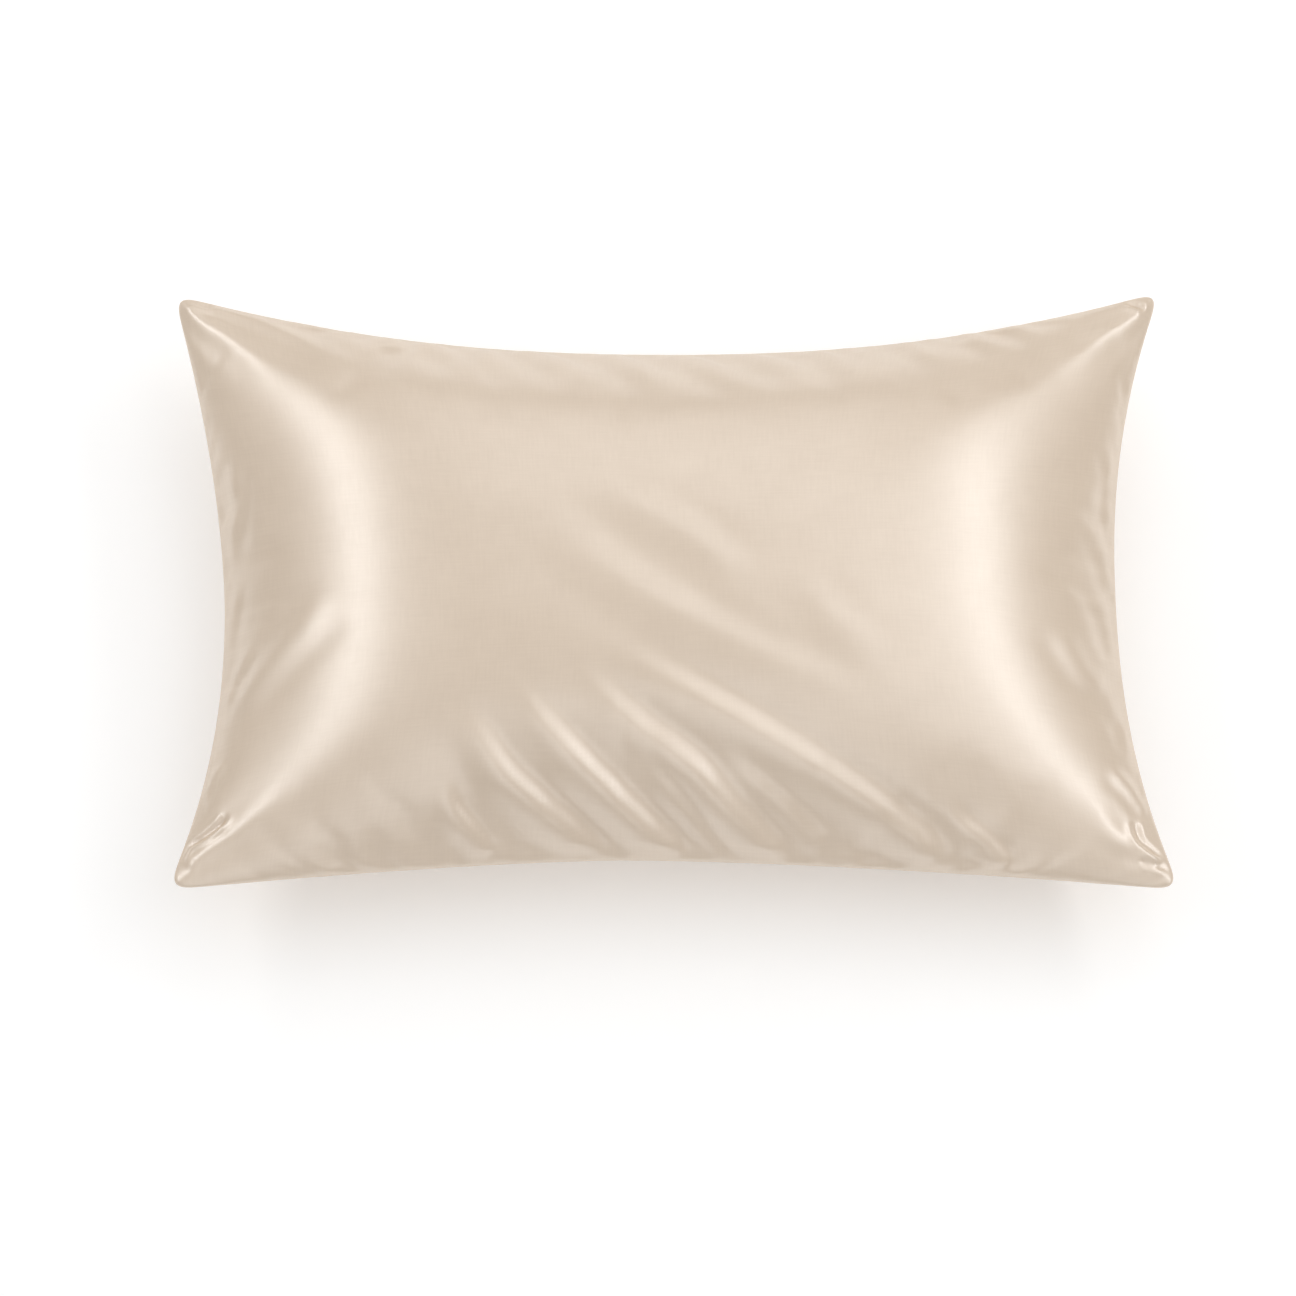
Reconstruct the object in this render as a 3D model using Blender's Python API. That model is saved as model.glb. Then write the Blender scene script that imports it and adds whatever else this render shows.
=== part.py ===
"""A satin pillowcase filled by its pillow, lying on its back.

Case and pillow are one closed solid: two cloth panels sewn edge to edge round the
outline, puffed up by the filling, creased, and flat where the back lies on the floor.
Metres. +X runs along the long sides, +Y toward the top edge, +Z out of the face.
The origin is at floor level, under the middle of the outline's box.
"""

import math
from collections import namedtuple

import bmesh
import bpy
from mathutils import Vector

# Heights
SEAM_HEIGHT = 0.080  # the sewn edge, above the floor
FACE_CROWN = 0.095  # top of the face, above the seam
BACK_DEPTH = 0.112  # how far the back would hang below the seam with no floor under it
SEAM_THICK = 0.0024  # the two hems where they are sewn together
REST_EASE = 0.012  # how gradually the back rolls onto the floor

# Outline: the four ears, before their tips are rounded
TOP_LEFT = Vector((-0.3835, 0.2447))
TOP_RIGHT = Vector((0.3785, 0.2472))
BOTTOM_LEFT = Vector((-0.3795, -0.2462))
BOTTOM_RIGHT = Vector((0.3840, -0.2462))
TIP_ROUNDING = 0.0050  # how far a tip is cut back each way
TIP_SHARPNESS = 48  # how close to the tip the rounding starts

# Each side is drawn in between its ears, deepest at `deepest` (-1 to 1 along the side).
Side = namedtuple("Side", "draw_in deepest power_before power_after")
TOP = Side(0.0525, 0.02, 2.25, 2.25)
BOTTOM = Side(0.0240, -0.10, 1.50, 1.60)
LEFT = Side(0.0420, -0.10, 2.15, 1.70)
RIGHT = Side(0.0425, 0.03, 2.35, 2.10)

# Crown: 1 - |t|^power from seam to seam, flat-topped with steep slopes
CROWN_POWER_ACROSS = 3.8
CROWN_POWER_UP = 3.0

# Beside the seam the cloth first rises quickly, because the hems hold it together there.
PUFF_HEIGHT = 0.006
PUFF_WIDTH = 0.013  # over which most of that rise happens
HIP_POWER = 4.0  # how tightly the rise turns at a corner between two seams

# Cloth cells on the back. The face has twice as many each way.
COLUMNS = 42
ROWS = 27
EDGE_CROWDING = 0.25  # 0 is even cells, 1 crowds them strongly at the seams

# Folds on the face, each from (x0, y0) to (x1, y1). bow is how far its middle stands off
# the straight line, to the right of its run. width is the ridge's, height above the crown.
Fold = namedtuple("Fold", "x0 y0 x1 y1 bow width height")
FOLDS = (
    # Lower half, running down to the right
    Fold(-0.170, -0.180, -0.122, -0.224, 0.000, 0.011, 0.0030),
    Fold(-0.150, -0.134, -0.032, -0.228, 0.004, 0.014, 0.0048),
    Fold(-0.110, -0.115, 0.022, -0.228, -0.004, 0.013, 0.0056),
    Fold(-0.020, -0.156, 0.048, -0.222, -0.003, 0.009, 0.0032),
    Fold(-0.060, -0.104, 0.098, -0.226, -0.003, 0.014, 0.0060),
    Fold(-0.040, -0.080, 0.235, -0.230, -0.004, 0.015, 0.0056),
    Fold(0.045, -0.158, 0.125, -0.216, 0.000, 0.012, 0.0020),
    Fold(0.208, -0.186, 0.262, -0.230, 0.000, 0.011, 0.0032),
    # Middle, long and faint
    Fold(-0.100, 0.032, 0.175, -0.140, -0.008, 0.018, 0.0034),
    Fold(-0.065, 0.066, 0.080, -0.042, -0.006, 0.016, 0.0026),
    Fold(0.105, -0.030, 0.185, -0.098, 0.000, 0.015, 0.0014),
    # Left side, up to the right
    Fold(-0.338, -0.112, -0.306, -0.040, 0.004, 0.010, 0.0036),
    Fold(-0.330, -0.118, -0.240, -0.036, 0.006, 0.015, 0.0040),
    Fold(-0.350, -0.180, -0.322, -0.146, 0.000, 0.009, 0.0026),
    Fold(-0.333, 0.000, -0.322, 0.085, 0.000, 0.012, 0.0024),
    Fold(-0.331, -0.055, -0.322, 0.002, 0.000, 0.010, 0.0020),
    # Right side, down to the right
    Fold(0.320, 0.098, 0.338, 0.034, -0.002, 0.009, 0.0030),
    Fold(0.306, 0.056, 0.338, -0.022, -0.002, 0.010, 0.0032),
    Fold(0.314, 0.004, 0.342, -0.084, -0.002, 0.010, 0.0032),
    Fold(0.280, -0.070, 0.348, -0.150, 0.004, 0.011, 0.0040),
    Fold(0.262, -0.128, 0.352, -0.214, 0.004, 0.014, 0.0040),
    Fold(0.330, -0.156, 0.360, -0.200, 0.000, 0.009, 0.0026),
    # Gathers along the top seam
    Fold(-0.226, 0.214, -0.196, 0.176, 0.000, 0.008, 0.0020),
    Fold(-0.194, 0.208, -0.140, 0.158, 0.000, 0.010, 0.0028),
    Fold(-0.160, 0.204, -0.112, 0.152, 0.000, 0.010, 0.0030),
    Fold(-0.122, 0.202, -0.052, 0.140, 0.000, 0.011, 0.0036),
    Fold(-0.062, 0.200, 0.000, 0.136, 0.000, 0.011, 0.0038),
    Fold(-0.004, 0.200, 0.066, 0.132, 0.000, 0.011, 0.0038),
    Fold(0.044, 0.200, 0.108, 0.150, 0.000, 0.010, 0.0032),
    Fold(0.100, 0.202, 0.144, 0.154, 0.000, 0.009, 0.0030),
    Fold(0.174, 0.208, 0.208, 0.164, 0.000, 0.009, 0.0028),
    Fold(0.218, 0.214, 0.262, 0.178, 0.000, 0.009, 0.0026),
    Fold(0.256, 0.220, 0.290, 0.196, 0.000, 0.008, 0.0020),
    # Ears
    Fold(-0.376, 0.232, -0.262, 0.075, 0.010, 0.016, 0.0034),
    Fold(-0.352, 0.236, -0.222, 0.130, 0.002, 0.012, 0.0040),
    Fold(0.372, 0.236, 0.280, 0.128, -0.004, 0.015, 0.0034),
    Fold(-0.372, -0.236, -0.300, -0.178, 0.006, 0.010, 0.0040),
    Fold(0.378, -0.238, 0.306, -0.180, -0.006, 0.010, 0.0040),
)
TROUGH_DEPTH = 0.40  # of the ridge's height, in the cloth on both sides of it
TROUGH_DISTANCE = 1.9  # ridge widths from the crest
FADE_SHARE = 0.30  # of a fold's length at each end, where it dies out
FLAT_NEAR_SEAM = 0.010  # folds die out nearer the seam than this

# The back is hidden, so it has only even, shallow gathers along its seam.
GATHER_PITCH = 0.047
GATHER_HEIGHT = 0.0022
GATHER_REACH = 0.045  # crown height by which they have died out

# Champagne satin
SATIN_LINEAR = (0.687, 0.578, 0.485, 1.0)
SATIN_ROUGHNESS = 0.36


def smooth(t):
    """Eases from 0 to 1 as t goes from 0 to 1."""
    t = min(max(t, 0.0), 1.0)
    return t * t * (3.0 - 2.0 * t)


def crowded(t):
    """Moves an even grid line toward the nearer seam, for finer cells there."""
    return (1.0 - EDGE_CROWDING) * t + EDGE_CROWDING * math.sin(0.5 * math.pi * t)


def drawn_in(side, t):
    """How far a side has come in from the straight line between its ears."""
    past = t > side.deepest
    reach = 1.0 - side.deepest if past else 1.0 + side.deepest
    power = side.power_after if past else side.power_before
    return side.draw_in * (1.0 - (abs(t - side.deepest) / reach) ** power)


def side_point(start, end, side, inward, t):
    return start.lerp(end, 0.5 * (t + 1.0)) + drawn_in(side, t) * Vector(inward)


def outline_patch(a, b):
    """Plan position of the cloth point a across and b up, both -1 to 1, between the four sides."""
    right, up = 0.5 * (a + 1.0), 0.5 * (b + 1.0)
    top = side_point(TOP_LEFT, TOP_RIGHT, TOP, (0, -1), a)
    bottom = side_point(BOTTOM_LEFT, BOTTOM_RIGHT, BOTTOM, (0, 1), a)
    left_side = side_point(BOTTOM_LEFT, TOP_LEFT, LEFT, (1, 0), b)
    right_side = side_point(BOTTOM_RIGHT, TOP_RIGHT, RIGHT, (-1, 0), b)
    between_ears = BOTTOM_LEFT.lerp(BOTTOM_RIGHT, right).lerp(TOP_LEFT.lerp(TOP_RIGHT, right), up)
    return bottom.lerp(top, up) + left_side.lerp(right_side, right) - between_ears


def plan(a, b):
    """The outline's plan position with each ear's tip rounded."""
    half_wide = 0.5 * (TOP_RIGHT.x - TOP_LEFT.x)
    half_high = 0.5 * (TOP_LEFT.y - BOTTOM_LEFT.y)
    power_up = TIP_SHARPNESS * half_wide / half_high
    a_round = a * (1.0 - TIP_ROUNDING / half_wide * abs(b) ** TIP_SHARPNESS)
    b_round = b * (1.0 - TIP_ROUNDING / half_high * abs(a) ** power_up)
    return outline_patch(a_round, b_round)


def crown(a, b):
    """Share of the full crown, 0 on the seam and 1 in the middle."""
    return (1.0 - abs(a) ** CROWN_POWER_ACROSS) * (1.0 - abs(b) ** CROWN_POWER_UP)


def seam_distance(a, b):
    """Distance from a cloth point to the nearest seam, eased at the corners."""
    from_side = 0.5 * (1.0 - abs(a)) * (plan(1.0, b) - plan(-1.0, b)).x
    from_end = 0.5 * (1.0 - abs(b)) * (plan(a, 1.0) - plan(a, -1.0)).y
    farther = (from_side**HIP_POWER + from_end**HIP_POWER) ** (1.0 / HIP_POWER)
    return from_side * from_end / max(farther, 1e-9)


def bulge(a, b, height):
    """How far the cloth stands off the seam's level, for a given height of the whole crown."""
    puff = 1.0 - math.exp(-seam_distance(a, b) / PUFF_WIDTH)
    return (height - PUFF_HEIGHT) * crown(a, b) + PUFF_HEIGHT * puff


def fold_height(fold, x, y):
    """Height that one fold adds at (x, y): a soft ridge with a shallow trough on each side."""
    run_x, run_y = fold.x1 - fold.x0, fold.y1 - fold.y0
    length = math.hypot(run_x, run_y)
    along = ((x - fold.x0) * run_x + (y - fold.y0) * run_y) / length**2
    if not 0.0 < along < 1.0:
        return 0.0
    off = ((x - fold.x0) * run_y - (y - fold.y0) * run_x) / length
    off = (off - fold.bow * 4.0 * along * (1.0 - along)) / fold.width
    ridge = math.exp(-off * off)
    trough = math.exp(-((abs(off) - TROUGH_DISTANCE) ** 2))
    ends = smooth(along / FADE_SHARE) * smooth((1.0 - along) / FADE_SHARE)
    return fold.height * ends * (ridge - TROUGH_DEPTH * trough)


def face_height(a, b, x, y):
    folds = sum(fold_height(fold, x, y) for fold in FOLDS)
    return bulge(a, b, FACE_CROWN) + folds * smooth(seam_distance(a, b) / FLAT_NEAR_SEAM)


def back_height(a, b, x, y):
    """Height of the back above the floor, flat where the pillow's weight presses it down."""
    depth = bulge(a, b, BACK_DEPTH)
    ripple = math.cos(2.0 * math.pi * x / GATHER_PITCH) * math.cos(2.0 * math.pi * y / GATHER_PITCH)
    near_seam = 1.0 - smooth(depth / GATHER_REACH)
    gather = smooth(seam_distance(a, b) / FLAT_NEAR_SEAM) * near_seam
    free = SEAM_HEIGHT - 0.5 * SEAM_THICK - depth + GATHER_HEIGHT * ripple * gather
    if free <= -REST_EASE:
        return 0.0
    if free >= REST_EASE:
        return free
    return (free + REST_EASE) ** 2 / (4.0 * REST_EASE)


def flat_case():
    """Two flat panels, one above the other and joined round the edge, the upper one finer."""
    mesh = bmesh.new()
    bmesh.ops.create_grid(mesh, x_segments=COLUMNS, y_segments=ROWS, size=1.0)
    grown = bmesh.ops.extrude_face_region(mesh, geom=mesh.faces[:])["geom"]
    for item in grown:
        if isinstance(item, bmesh.types.BMVert):
            item.co.z = 1.0
    upper = [edge for edge in mesh.edges if all(vert.co.z > 0.5 for vert in edge.verts)]
    bmesh.ops.subdivide_edges(mesh, edges=upper, cuts=1, use_grid_fill=True)
    bmesh.ops.recalc_face_normals(mesh, faces=mesh.faces[:])
    return mesh


def shape(mesh):
    """Moves the flat panels' points to where the filled case holds them."""
    for vert in mesh.verts:
        on_face = vert.co.z > 0.5
        a, b = crowded(vert.co.x), crowded(vert.co.y)
        x, y = plan(a, b)
        if on_face:
            z = SEAM_HEIGHT + 0.5 * SEAM_THICK + face_height(a, b, x, y)
        else:
            z = back_height(a, b, x, y)
        vert.co = (x, y, z)


def centre(mesh):
    """Puts the middle of the outline's box over the origin."""
    for axis in (0, 1):
        places = [vert.co[axis] for vert in mesh.verts]
        middle = 0.5 * (min(places) + max(places))
        for vert in mesh.verts:
            vert.co[axis] -= middle


def satin():
    material = bpy.data.materials.new("champagne_satin")
    material.use_nodes = True
    shader = material.node_tree.nodes["Principled BSDF"]
    shader.inputs["Base Color"].default_value = SATIN_LINEAR
    shader.inputs["Roughness"].default_value = SATIN_ROUGHNESS
    shader.inputs["Metallic"].default_value = 0.0
    return material


def filled_case():
    mesh = flat_case()
    shape(mesh)
    centre(mesh)
    data = bpy.data.meshes.new("pillowcase")
    mesh.to_mesh(data)
    mesh.free()
    data.shade_smooth()
    data.materials.append(satin())
    return bpy.data.objects.new("pillowcase", data)


def main():
    for item in list(bpy.data.objects):
        bpy.data.objects.remove(item)
    parts = bpy.data.collections.new("satin_pillowcase")
    bpy.context.scene.collection.children.link(parts)
    parts.objects.link(filled_case())


main()
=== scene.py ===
import bpy
import numpy as np
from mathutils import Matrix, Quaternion, Vector


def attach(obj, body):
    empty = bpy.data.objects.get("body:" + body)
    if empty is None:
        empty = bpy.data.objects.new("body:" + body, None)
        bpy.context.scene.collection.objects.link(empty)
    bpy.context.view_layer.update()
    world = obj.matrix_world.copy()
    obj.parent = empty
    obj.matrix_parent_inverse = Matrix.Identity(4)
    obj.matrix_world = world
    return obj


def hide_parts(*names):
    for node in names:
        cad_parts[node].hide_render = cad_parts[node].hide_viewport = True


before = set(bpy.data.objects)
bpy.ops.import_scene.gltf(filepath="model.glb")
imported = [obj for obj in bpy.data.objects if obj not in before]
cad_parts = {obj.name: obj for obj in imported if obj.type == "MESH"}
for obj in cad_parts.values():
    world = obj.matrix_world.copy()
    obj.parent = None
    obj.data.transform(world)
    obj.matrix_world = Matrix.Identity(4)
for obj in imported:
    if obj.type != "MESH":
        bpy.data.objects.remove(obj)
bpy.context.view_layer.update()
millimetre = 0.001
tiny = 1e-9  # keeps a division safe


def fromHex(code):
    parts = [int(code[i:i + 2], 16) / 255 for i in (0, 2, 4)]
    return [c / 12.92 if c <= 0.04045 else ((c + 0.055) / 1.055) ** 2.4 for c in parts]


def smooth(t):
    t = np.clip(t, 0, 1)
    return t * t * (3 - 2 * t)


def selectNothing():
    if bpy.context.object and bpy.context.object.mode != "OBJECT":
        bpy.ops.object.mode_set(mode="OBJECT")
    bpy.ops.object.select_all(action="DESELECT")


# The filled case, in metres: seam to seam, its crown and its flat back
case = {
    "ears": {"topLeft": (-0.3835, 0.2447), "topRight": (0.3785, 0.2472),
             "bottomLeft": (-0.3795, -0.2462), "bottomRight": (0.3840, -0.2462)},
    "tipRounding": 0.0050,
    "tipSharpness": 48,
    "seamHeight": 0.080,  # above what the case lies on
    "seamThick": 0.0024,
    "faceCrown": 0.095,
    "backDepth": 0.112,
    "powerAcross": 3.8,
    "powerUp": 3.0,
    "puffHeight": 0.0060,  # how fast the cloth rises beside the seam
    "puffWidth": 0.013,
    "hipPower": 4,
    "restEase": 0.012,  # how softly the back rolls onto the surface
    "flatSize": (0.762, 0.508),  # the case before it is filled, 76 by 51 cm
    "columns": 128,
    "rows": 86,
    "crowding": 0.62,  # finer cells near the seam
}

# How far each side is drawn in, where it is deepest, and its curve before and after that place
drawIn = {
    "top": (0.0525, 0.02, 2.25, 2.25),
    "bottom": (0.0240, -0.10, 1.50, 1.60),
    "left": (0.0420, -0.10, 2.15, 1.70),
    "right": (0.0425, 0.03, 2.35, 2.10),
}


def drawnIn(side, t):
    depth, deepest, before, after = drawIn[side]
    past = t > deepest
    reach = np.where(past, 1 - deepest, 1 + deepest)
    return depth * (1 - (np.abs(t - deepest) / reach) ** np.where(past, after, before))


def plan(a, b):
    ears = {name: np.array(place) for name, place in case["ears"].items()}
    halfWide = 0.5 * (ears["topRight"][0] - ears["topLeft"][0])
    halfHigh = 0.5 * (ears["topLeft"][1] - ears["bottomLeft"][1])
    sharp = case["tipSharpness"]
    across = a * (1 - case["tipRounding"] / halfWide * np.abs(b) ** sharp)
    up = b * (1 - case["tipRounding"] / halfHigh * np.abs(a) ** (sharp * halfWide / halfHigh))
    u, v = 0.5 * (across + 1)[:, None], 0.5 * (up + 1)[:, None]
    lowEdge = ears["bottomLeft"] * (1 - u) + ears["bottomRight"] * u
    highEdge = ears["topLeft"] * (1 - u) + ears["topRight"] * u
    leftEdge = ears["bottomLeft"] * (1 - v) + ears["topLeft"] * v
    rightEdge = ears["bottomRight"] * (1 - v) + ears["topRight"] * v
    straight = lowEdge * (1 - v) + highEdge * v
    lowEdge = lowEdge + drawnIn("bottom", across)[:, None] * np.array([0, 1])
    highEdge = highEdge - drawnIn("top", across)[:, None] * np.array([0, 1])
    leftEdge = leftEdge + drawnIn("left", up)[:, None] * np.array([1, 0])
    rightEdge = rightEdge - drawnIn("right", up)[:, None] * np.array([1, 0])
    return lowEdge * (1 - v) + highEdge * v + leftEdge * (1 - u) + rightEdge * u - straight


# How far each place lies from the nearest seam
def seamDistance(a, b):
    edge = np.ones_like(a)
    wide = plan(edge, b)[:, 0] - plan(-edge, b)[:, 0]
    high = plan(a, edge)[:, 1] - plan(a, -edge)[:, 1]
    fromSide = 0.5 * (1 - np.abs(a)) * wide
    fromEnd = 0.5 * (1 - np.abs(b)) * high
    n = case["hipPower"]
    return fromSide * fromEnd / np.maximum((fromSide ** n + fromEnd ** n) ** (1 / n), tiny)


def bulge(a, b, height):
    crown = (1 - np.abs(a) ** case["powerAcross"]) * (1 - np.abs(b) ** case["powerUp"])
    puff = 1 - np.exp(-seamDistance(a, b) / case["puffWidth"])
    return (height - case["puffHeight"]) * crown + case["puffHeight"] * puff


def restOn(z):
    ease = case["restEase"]
    return np.where(z <= -ease, 0, np.where(z >= ease, z, (z + ease) ** 2 / (4 * ease)))


# Folds of the face. Each row is a crest's path in millimetres across the plan, its half width at
# the start and at the end, and its height. A height below zero makes a furrow. A fold swells over
# the "rise" share of its path and fades over the "fall" share, "trough" is the depth of the hollows
# beside it against its height, and one that leans is steeper on the left of its path
folds = {
    "low": {"rise": 0.45, "fall": 0.10, "trough": 0.40, "lean": 0.28, "rows": (
        (((-174, -176), (-164, -196), (-149, -209), (-134, -221)), 8, 7, 2.6),
        (((-170, -122), (-147, -148), (-124, -176), (-95, -196), (-46, -224)), 12, 10, 4.2),
        (((-128, -102), (-104, -133), (-83, -154), (-58, -176), (-27, -200), (14, -226)), 12, 10, 4.6),
        (((-26, -156), (-14, -172), (3, -188), (22, -206), (44, -226)), 7, 6, 2.0),
        (((-80, -92), (-52, -122), (-22, -145), (18, -172), (42, -194), (90, -229)), 13, 11, 4.8),
        (((-60, -76), (-22, -101), (52, -140), (130, -182), (165, -202), (214, -230)), 14, 11, 4.4),
        (((36, -156), (47, -170), (85, -195), (116, -218)), 9, 8, 1.6),
        (((203, -186), (212, -200), (232, -214), (254, -231)), 8, 8, 2.4),
    )},
    "middle": {"rise": 0.40, "fall": 0.35, "trough": 0.40, "lean": 0.15, "rows": (
        (((-112, 40), (-96, 18), (-22, -42), (64, -91), (116, -113), (164, -140)), 16, 14, 1.7),
        (((-72, 68), (-56, 52), (-21, 28), (18, 2), (68, -42)), 14, 13, 1.4),
        (((96, -24), (109, -46), (131, -70), (170, -98)), 13, 13, 1.0),
    )},
    "left": {"rise": 0.30, "fall": 0.30, "trough": 0.45, "lean": 0, "rows": (
        (((-335, 98), (-331, 65), (-333, 44), (-335, 10)), 6, 6, 1.4),
        (((-327, 2), (-333, -23), (-337, -41), (-338, -66)), 5, 5, 1.0),
        (((-316, -56), (-330, -81), (-335, -93), (-343, -110)), 5, 4, 1.1),
        (((-250, -34), (-265, -45), (-287, -64), (-304, -82), (-318, -96), (-332, -114)), 13, 10, 1.8),
        (((-333, -146), (-346, -160), (-354, -176)), 4, 4, 1.0),
    )},
    "right": {"rise": 0.30, "fall": 0.25, "trough": 0.45, "lean": 0, "rows": (
        (((333, 114), (339, 87), (337, 62), (336, 38)), 5, 5, 1.1),
        (((316, 50), (328, 27), (336, 10), (337, -14)), 7, 6, 1.1),
        (((320, -2), (333, -34), (338, -49), (341, -76)), 7, 6, 1.1),
        (((290, -46), (311, -81), (325, -90), (337, -105)), 10, 8, 1.2),
        (((330, -98), (346, -120), (350, -144)), 7, 6, 1.2),
        (((328, -155), (347, -169), (362, -190)), 6, 5, 1.5),
    )},
    "top": {"rise": 0.15, "fall": 0.60, "trough": 0.40, "lean": 0, "rows": (
        (((-228, 214), (-214, 200), (-192, 176)), 8, 8, 1.6),
        (((-196, 206), (-172, 184), (-138, 158)), 9, 10, 2.2),
        (((-162, 203), (-140, 184), (-108, 150)), 9, 10, 2.2),
        (((-124, 202), (-96, 180), (-48, 140)), 10, 12, 2.8),
        (((-62, 200), (-36, 176), (4, 136)), 10, 12, 3.0),
        (((-6, 199), (24, 172), (70, 130)), 10, 12, 3.0),
        (((44, 199), (70, 180), (112, 150)), 9, 11, 2.6),
        (((100, 201), (118, 184), (148, 152)), 9, 10, 2.4),
        (((174, 207), (190, 190), (212, 164)), 8, 9, 2.2),
        (((217, 213), (236, 200), (266, 178)), 8, 9, 2.0),
        (((256, 219), (272, 208), (294, 196)), 7, 8, 1.5),
    )},
    "ears": {"rise": 0.08, "fall": 0.60, "trough": 0.30, "lean": 0, "rows": (
        (((-378, 238), (-368, 226), (-357, 215), (-343, 205), (-315, 179), (-296, 154)), 5, 12, 1.8),
        (((-358, 237), (-322, 221), (-281, 195), (-253, 171), (-226, 144)), 5, 11, 2.2),
        (((372, 238), (362, 226), (348, 213), (335, 204), (314, 180), (299, 156)), 5, 12, 1.8),
        (((-366, -230), (-346, -215), (-326, -204), (-300, -186), (-283, -171)), 5, 12, 1.6),
        (((370, -228), (350, -214), (334, -209), (318, -193), (301, -175)), 5, 12, 1.6),
    )},
    "creases": {"rise": 0.15, "fall": 0.20, "trough": 0.55, "lean": 0, "rows": (
        (((-334, -190), (-338, -197), (-350, -206), (-364, -213), (-369, -226)), 2.5, 2.5, -2.2),
        (((-334, -199), (-354, -210), (-366, -214)), 2.5, 2.5, 1.2),
        (((350, -194), (353, -208), (361, -215), (373, -222)), 3, 3, -1.5),
        (((352, -225), (364, -227), (377, -229)), 3, 3, -1.4),
        (((350, 238), (358, 235), (366, 229)), 3, 3, -2.0),
        (((-366, 240), (-360, 236), (-350, 233)), 3, 3, -1.8),
    )},
}

foldForm = {
    "samples": 9,  # per stretch of a fold's path
    "reach": 3.2,  # half widths, past which a fold isn't worked out
    "troughPlace": 1.7,  # half widths from the crest to the hollow beside it
    "troughTightness": 1.3,
    "seamEase": 0.010,  # folds fade out this close to the seam
}


# A smooth path through a fold's corners
def pathPoints(path):
    corners = np.array([path[0], *path, path[-1]], float) * millimetre
    t = np.linspace(0, 1, foldForm["samples"], endpoint=False)[:, None]
    out = []
    for p0, p1, p2, p3 in zip(corners, corners[1:], corners[2:], corners[3:]):
        slope = p2 - p0
        bend = 2 * p0 - 5 * p1 + 4 * p2 - p3
        twist = 3 * (p1 - p2) + p3 - p0
        out.append(p1 + 0.5 * t * (slope + t * (bend + t * twist)))
    return np.vstack([*out, corners[-1:]])


# How far one fold lifts each place, by its distance from the nearest stretch of the fold's path
def foldHeight(x, y, path, startWidth, endWidth, height, group):
    points = pathPoints(path)
    startWidth, endWidth, height = (size * millimetre for size in (startWidth, endWidth, height))
    reach = foldForm["reach"] * max(startWidth, endWidth)
    low, high = points.min(0) - reach, points.max(0) + reach
    near = np.where((x > low[0]) & (x < high[0]) & (y > low[1]) & (y < high[1]))[0]
    place = np.stack([x[near], y[near]], 1)
    best = np.full(len(near), np.inf)
    off = np.zeros(len(near))
    along = np.zeros(len(near))
    steps = np.linalg.norm(np.diff(points, axis=0), axis=1)
    run = np.concatenate([[0], np.cumsum(steps)]) / steps.sum()
    for i, step in enumerate(steps):
        way = (points[i + 1] - points[i]) / step
        gone = place - points[i]
        t = np.clip(gone @ way, 0, step)
        miss = gone - t[:, None] * way
        distance = np.linalg.norm(miss, axis=1)
        nearer = distance < best
        best = np.where(nearer, distance, best)
        side = np.sign(way[0] * gone[:, 1] - way[1] * gone[:, 0])
        off = np.where(nearer, side * distance, off)
        along = np.where(nearer, run[i] + t / step * (run[i + 1] - run[i]), along)
    lean = np.where(off > 0, 1 - group["lean"], 1 + group["lean"])
    u = off / ((startWidth + (endWidth - startWidth) * along) * lean)
    ridge = np.exp(-u * u)
    trough = np.exp(-(np.abs(u) - foldForm["troughPlace"]) ** 2 * foldForm["troughTightness"])
    ends = smooth(along / group["rise"]) * smooth((1 - along) / group["fall"])
    out = np.zeros_like(x)
    out[near] = height * ends * (ridge - group["trough"] * trough)
    return out


def readPoints(mesh):
    flat = np.empty(len(mesh.vertices) * 3)
    mesh.vertices.foreach_get("co", flat)
    return flat.reshape(-1, 3)


def writePoints(mesh, points):
    mesh.vertices.foreach_set("co", points.ravel())
    mesh.update()


# The point that each corner of each face belongs to
def faceCorners(mesh):
    corner = np.empty(len(mesh.loops), int)
    mesh.loops.foreach_get("vertex_index", corner)
    return corner


# Each point's place on its panel, from -1 to 1 across and up, read from the cloth's own map
def clothPlaces(mesh):
    uv = np.empty(len(mesh.loops) * 2)
    mesh.uv_layers["panel"].data.foreach_get("uv", uv)
    out = np.empty((len(mesh.vertices), 2))
    out[faceCorners(mesh)] = uv.reshape(-1, 2)
    return 2 * out[:, 0] - 1, 2 * out[:, 1] - 1


# Two panels sewn round their edges: a grid, and the same grid extruded upwards
def cutPanels():
    selectNothing()
    bpy.ops.mesh.primitive_grid_add(x_subdivisions=case["columns"], y_subdivisions=case["rows"], size=2)
    piece = bpy.context.object
    piece.name = "satinPillowcase"
    bpy.ops.object.mode_set(mode="EDIT")
    bpy.ops.mesh.select_all(action="SELECT")
    bpy.ops.mesh.extrude_region_move(TRANSFORM_OT_translate={"value": (0, 0, 1)})
    bpy.ops.mesh.select_all(action="SELECT")
    bpy.ops.mesh.normals_make_consistent(inside=False)
    bpy.ops.object.mode_set(mode="OBJECT")
    return piece


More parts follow.
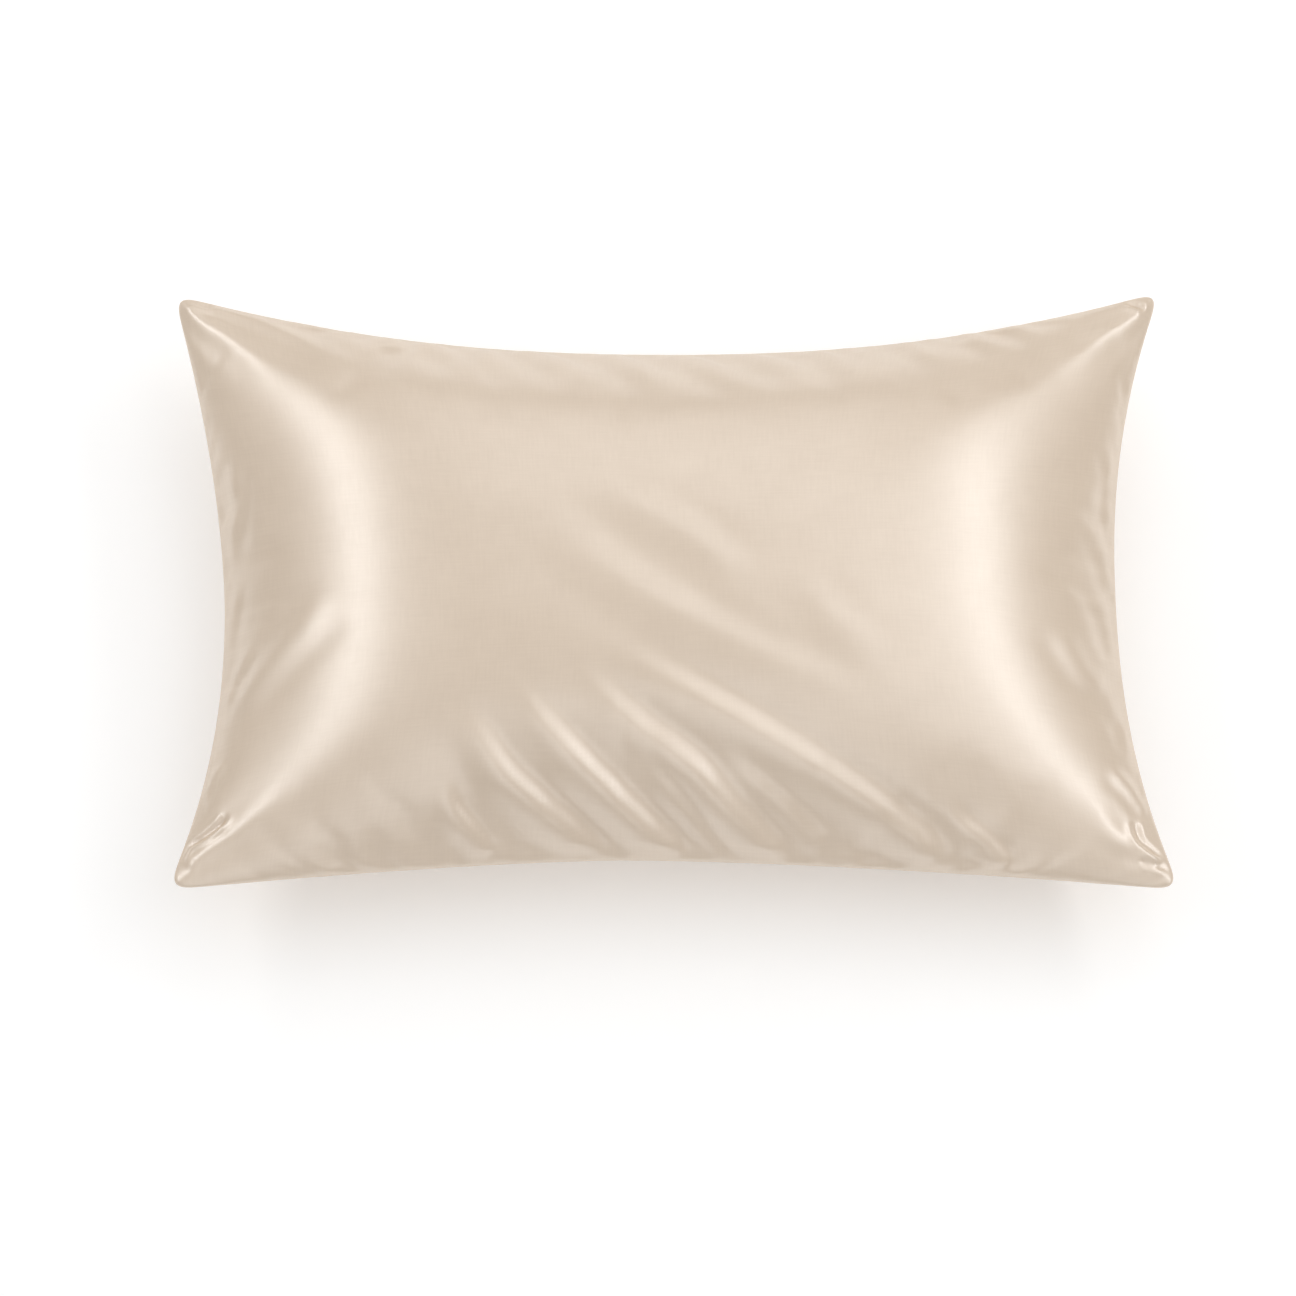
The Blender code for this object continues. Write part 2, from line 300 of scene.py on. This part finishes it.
# The grid takes the case's form: its plan, its crowned face and its back with a flat spot
def shapeCase(piece):
    mesh = piece.data
    grid = readPoints(mesh)
    c = case["crowding"]
    a = (1 - c) * grid[:, 0] + c * np.sin(0.5 * np.pi * grid[:, 0])
    b = (1 - c) * grid[:, 1] + c * np.sin(0.5 * np.pi * grid[:, 1])
    isFace = grid[:, 2] > 0.5
    place = plan(a, b)
    face = case["seamHeight"] + 0.5 * case["seamThick"] + bulge(a, b, case["faceCrown"])
    back = restOn(case["seamHeight"] - 0.5 * case["seamThick"] - bulge(a, b, case["backDepth"]))
    points = np.column_stack([place, np.where(isFace, face, back)])
    points[:, 0] -= 0.5 * (points[:, 0].min() + points[:, 0].max())
    points[:, 1] -= 0.5 * (points[:, 1].min() + points[:, 1].max())
    while mesh.uv_layers:
        mesh.uv_layers.remove(mesh.uv_layers[0])
    panel = mesh.uv_layers.new(name="panel")
    places = np.stack([0.5 + 0.5 * a, 0.5 + 0.5 * b], 1)
    panel.data.foreach_set("uv", places[faceCorners(mesh)].ravel())
    writePoints(mesh, points)


# Pressure fills the case: its cloth swells a little, and its slack gathers beside the seams
filling = {
    "frames": 20,
    "quality": 6,
    "pressure": 4,
    "slack": 0.03,
    "clothMass": 0.3,
    "airDamping": 1.5,
    "stiffness": 15,
    "softerWays": 0.3,  # squeezed or sheared, the cloth has this share of its stiffness
    "bending": 0.3,
    "onSeam": 0.9999,  # places past this, of the panel's 1, are sewn
    "capNearSeam": 0.0016,  # how far a point may move
    "capInMiddle": 0.0010,
    "seamReach": 0.050,
    "tipReach": 0.120,  # an ear is stiff and hardly moves
    "tipStart": 0.3,  # of that reach, within which only the tip's share of the cap is left
    "tipShare": 0.1,
    "restFade": 0.030,  # the back moves less toward the surface it lies on
}


def fillCase(piece):
    mesh = piece.data
    before = readPoints(mesh)
    a, b = clothPlaces(mesh)
    seam = np.where(np.maximum(np.abs(a), np.abs(b)) > filling["onSeam"])[0]
    held = piece.vertex_groups.new(name="seam")
    held.add([int(i) for i in seam], 1, "REPLACE")
    cloth = piece.modifiers.new("cloth", "CLOTH")
    use = cloth.settings
    use.quality = filling["quality"]
    use.mass = filling["clothMass"]
    use.air_damping = filling["airDamping"]
    use.tension_stiffness = filling["stiffness"]
    use.compression_stiffness = use.shear_stiffness = filling["softerWays"] * filling["stiffness"]
    use.bending_stiffness = filling["bending"]
    use.use_pressure = True
    use.uniform_pressure_force = filling["pressure"]
    use.effector_weights.gravity = 0
    use.vertex_group_mass = "seam"
    use.shrink_min = -filling["slack"]
    cloth.collision_settings.use_collision = False
    cloth.point_cache.frame_end = filling["frames"]
    scene = bpy.context.scene
    for step in range(1, filling["frames"] + 1):
        scene.frame_set(step)
    filled = piece.evaluated_get(bpy.context.evaluated_depsgraph_get())
    move = readPoints(filled.data) - before
    piece.modifiers.remove(cloth)
    scene.frame_set(1)
    far = np.linalg.norm(move, axis=1)
    near = 1 - smooth(seamDistance(a, b) / filling["seamReach"])
    tips = np.array(list(case["ears"].values()))
    fromTip = np.linalg.norm(before[:, None, :2] - tips, axis=2).min(1)
    cap = filling["capInMiddle"] + (filling["capNearSeam"] - filling["capInMiddle"]) * near
    free = smooth(fromTip / filling["tipReach"] - filling["tipStart"])
    cap *= filling["tipShare"] + (1 - filling["tipShare"]) * free
    move *= (cap * np.tanh(far / cap) / np.maximum(far, tiny))[:, None]
    onBack = before[:, 2] < case["seamHeight"]
    move *= np.where(onBack, smooth(before[:, 2] / filling["restFade"]), 1)[:, None]
    points = before + move
    points[:, 2] = np.maximum(points[:, 2], 0)
    writePoints(mesh, points)
    middling, most = (round(float(way) / millimetre, 1) for way in (far.mean(), far.max()))
    print("filled: before the cap, points moved", middling, "mm, at most", most)


# Finer, rounded cells, so that the folds have smooth crests
def refine(piece):
    selectNothing()
    piece.select_set(True)
    bpy.context.view_layer.objects.active = piece
    fine = piece.modifiers.new("fine", "SUBSURF")
    fine.levels = fine.render_levels = 1
    fine.uv_smooth = "NONE"
    bpy.ops.object.modifier_apply(modifier="fine")
    bpy.ops.object.shade_smooth()


def foldFace(piece):
    mesh = piece.data
    points = readPoints(mesh)
    a, b = clothPlaces(mesh)
    normal = np.empty(len(mesh.vertices) * 3)
    mesh.vertices.foreach_get("normal", normal)
    normal = normal.reshape(-1, 3)
    x, y = points[:, 0], points[:, 1]
    lift = np.zeros(len(points))
    for group in folds.values():
        for path, startWidth, endWidth, height in group["rows"]:
            lift += foldHeight(x, y, path, startWidth, endWidth, height, group)
    onFace = points[:, 2] > case["seamHeight"]
    lift = np.where(onFace, lift, 0) * smooth(seamDistance(a, b) / foldForm["seamEase"])
    writePoints(mesh, points + lift[:, None] * normal)


# Champagne satin: long threads lie side by side, so it is smooth, slippery and shines in soft bands
satinLook = {
    "thread": "d9c2a7",
    "threadShade": "d1b99d",
    "roughness": (0.33, 0.37),
    "specular": 1.0,
    "ior": 2.18,  # above a real fibre's, so that the sheen shows as it does on satin
    "threadPitch": 1.6,  # mm; real threads lie 0.1 mm apart, too fine to see, so they are coarser here
    "threadRun": 26.0,  # mm
    "threadDetail": 2,
    "threadGrain": 0.6,
    "cloudSize": 34.0,  # mm, where the cloth takes the light a little more or less
    "cloudStretch": 1.5,
    "cloudDetail": 4,
    "shadeSpan": (1.1, 1.9),  # sums of the noise between which the thread's colour turns
    "glossSpan": (0.7, 1.3),  # and its roughness
    "relief": 0.00002,
}


def addNode(tree, kind, settings=None, links=None):
    node = tree.nodes.new(kind)
    for key, value in (settings or {}).items():
        if isinstance(key, str) and hasattr(node, key):
            setattr(node, key, value)
        else:
            node.inputs[key].default_value = value
    for key, source in (links or {}).items():
        tree.links.new(source, node.inputs[key])
    return node


# Streaks of thread along one way of the panel, from its map, whose unit is the whole flat case
def threads(tree, panel, along):
    wide, high = (side / millimetre for side in case["flatSize"])
    across, run = wide / satinLook["threadPitch"], wide / satinLook["threadRun"]
    up, rise = high / satinLook["threadPitch"], high / satinLook["threadRun"]
    size = (run, up, 1) if along else (across, rise, 1)
    place = addNode(tree, "ShaderNodeMapping", {"Scale": size}, {"Vector": panel})
    noise = {"Scale": 1, "Detail": satinLook["threadDetail"], "Roughness": satinLook["threadGrain"]}
    return addNode(tree, "ShaderNodeTexNoise", noise, {"Vector": place.outputs[0]}).outputs[0]


def satin():
    material = bpy.data.materials.new("champagneSatin")
    material.use_nodes = True
    tree = material.node_tree
    shader = tree.nodes["Principled BSDF"]
    shader.inputs["IOR"].default_value = satinLook["ior"]
    shader.inputs["Specular IOR Level"].default_value = satinLook["specular"]
    panel = addNode(tree, "ShaderNodeUVMap", {"uv_map": "panel"}).outputs[0]
    weft, warp = threads(tree, panel, True), threads(tree, panel, False)
    both = addNode(tree, "ShaderNodeMath", {"operation": "ADD"}, {0: weft, 1: warp}).outputs[0]
    clouds = case["flatSize"][0] / millimetre / satinLook["cloudSize"]
    size = (clouds, clouds / satinLook["cloudStretch"], 1)
    place = addNode(tree, "ShaderNodeMapping", {"Scale": size}, {"Vector": panel}).outputs[0]
    noise = {"Scale": 1, "Detail": satinLook["cloudDetail"]}
    cloud = addNode(tree, "ShaderNodeTexNoise", noise, {"Vector": place}).outputs[0]
    mixed = addNode(tree, "ShaderNodeMath", {"operation": "ADD"}, {0: both, 1: cloud}).outputs[0]
    low, high = satinLook["shadeSpan"]
    shade = addNode(tree, "ShaderNodeMapRange", {"From Min": low, "From Max": high}, {"Value": mixed})
    colour = addNode(tree, "ShaderNodeMix", {"data_type": "RGBA"}, {0: shade.outputs[0]})
    colour.inputs[6].default_value = (*fromHex(satinLook["threadShade"]), 1)
    colour.inputs[7].default_value = (*fromHex(satinLook["thread"]), 1)
    tree.links.new(colour.outputs[2], shader.inputs["Base Color"])
    smoother, rougher = satinLook["roughness"]
    low, high = satinLook["glossSpan"]
    gloss = addNode(tree, "ShaderNodeMapRange", {
        "From Min": low, "From Max": high, "To Min": rougher, "To Max": smoother}, {"Value": both})
    tree.links.new(gloss.outputs[0], shader.inputs["Roughness"])
    relief = addNode(tree, "ShaderNodeBump", {"Distance": satinLook["relief"]}, {"Height": both})
    tree.links.new(relief.outputs[0], shader.inputs["Normal"])
    return material


# A pale paper floor under large soft lamps. The four sky values are rounded from a search
# that compared a model of the satin's reflections with the photo's brightness. The lamps were set with
# that search's results in view, and the left strip and the front panel lie close to them
studioLook = {
    "floorSize": 16,
    "floorColour": "f4f4f4",
    "floorRoughness": 0.9,
    "floorShine": 0.1,
    # the floor glows a little though it is no lamp: painted light that keeps it white and lifts the
    # shadows on it
    "floorGlow": 0.18,
    "skyHigh": 0.61,  # the room is a little darker low down than overhead
    "skyLow": 0.45,
    "skyHeights": (0.12, 0.63),  # sines of the heights between which it brightens
    "aimHeight": 0.1,
    "lampDistance": 2.4,
    # azimuth counted from +X, height angle, width, height, roll, watts
    "lamps": {
        "leftStrip": (155, 43, 3.0, 0.25, 25, 12),
        "rightStrip": (15, 42, 3.6, 0.4, 0, 13),
        "rightPanel": (10, 62, 2.6, 1.6, -8, 8),
        "backPanel": (90, 40, 1.2, 2.4, 0, 5),
        "frontPanel": (-95, 45, 1.2, 2.2, 0, 4),
    },
}


def layFloor():
    selectNothing()
    bpy.ops.mesh.primitive_plane_add(size=studioLook["floorSize"])
    floor = bpy.context.object
    floor.name = "paperFloor"
    paper = bpy.data.materials.new("whitePaper")
    paper.use_nodes = True
    shader = paper.node_tree.nodes["Principled BSDF"]
    shader.inputs["Base Color"].default_value = (*fromHex(studioLook["floorColour"]), 1)
    shader.inputs["Roughness"].default_value = studioLook["floorRoughness"]
    shader.inputs["Specular IOR Level"].default_value = studioLook["floorShine"]
    # painted light: the paper glows faintly, which keeps it white and lightens the shadows that fall on
    # it
    shader.inputs["Emission Color"].default_value = (1, 1, 1, 1)
    shader.inputs["Emission Strength"].default_value = studioLook["floorGlow"]
    floor.data.materials.append(paper)


def hangLamps():
    aim = Vector((0, 0, studioLook["aimHeight"]))
    for name, (azimuth, height, width, tall, roll, watts) in studioLook["lamps"].items():
        around, up = np.radians(azimuth), np.radians(height)
        away = Vector((np.cos(up) * np.cos(around), np.cos(up) * np.sin(around), np.sin(up)))
        data = bpy.data.lights.new(name, "AREA")
        data.shape = "RECTANGLE"
        data.size, data.size_y = width, tall
        data.energy = watts
        lamp = bpy.data.objects.new(name, data)
        lamp.location = aim + studioLook["lampDistance"] * away
        turn = away.to_track_quat("Z", "Y") @ Quaternion((0, 0, 1), np.radians(roll))
        lamp.rotation_euler = turn.to_euler()
        bpy.context.scene.collection.objects.link(lamp)


def lightRoom():
    world = bpy.data.worlds.new("studio")
    bpy.context.scene.world = world
    world.use_nodes = True
    tree = world.node_tree
    sky = tree.nodes["Background"]
    sky.inputs["Color"].default_value = (1, 1, 1, 1)
    way = addNode(tree, "ShaderNodeTexCoord").outputs["Generated"]
    height = addNode(tree, "ShaderNodeSeparateXYZ", None, {0: way}).outputs["Z"]
    low, high = studioLook["skyHeights"]
    strength = addNode(tree, "ShaderNodeMapRange", {
        "interpolation_type": "SMOOTHSTEP", "From Min": low, "From Max": high,
        "To Min": studioLook["skyLow"], "To Max": studioLook["skyHigh"]}, {"Value": height})
    tree.links.new(strength.outputs[0], sky.inputs["Strength"])


# The photo's view: a long lens from far off, turned toward the lower edge from straight above, in
# millimetres for the lens and its sensor, metres and degrees
photoView = {
    "sensorWidth": 36,
    "lens": 262.6,
    "distance": 7.2,
    "turn": 22,
    "aim": (-0.01676, -0.04234, 0.06431),
    "clipEnd": 50,
}


def camera():
    data = bpy.data.cameras.new("camera")
    data.sensor_width = photoView["sensorWidth"]
    data.lens = photoView["lens"]
    data.clip_end = photoView["clipEnd"]
    eye = bpy.data.objects.new("camera", data)
    turn = np.radians(photoView["turn"])
    away = Vector((0, -np.sin(turn), np.cos(turn)))
    eye.location = Vector(photoView["aim"]) + photoView["distance"] * away
    eye.rotation_euler = (-away).to_track_quat("-Z", "Y").to_euler()
    bpy.context.scene.collection.objects.link(eye)
    bpy.context.scene.camera = eye


camera()
pillow = cutPanels()
shapeCase(pillow)
fillCase(pillow)
print("panels cut and sewn")
refine(pillow)
foldFace(pillow)
pillow.data.materials.clear()
pillow.data.materials.append(satin())
print("folds made", len(pillow.data.polygons))
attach(pillow, "root")
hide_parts("pillowcase")
layFloor()
hangLamps()
lightRoom()
bpy.context.scene.view_settings.view_transform = "Standard"
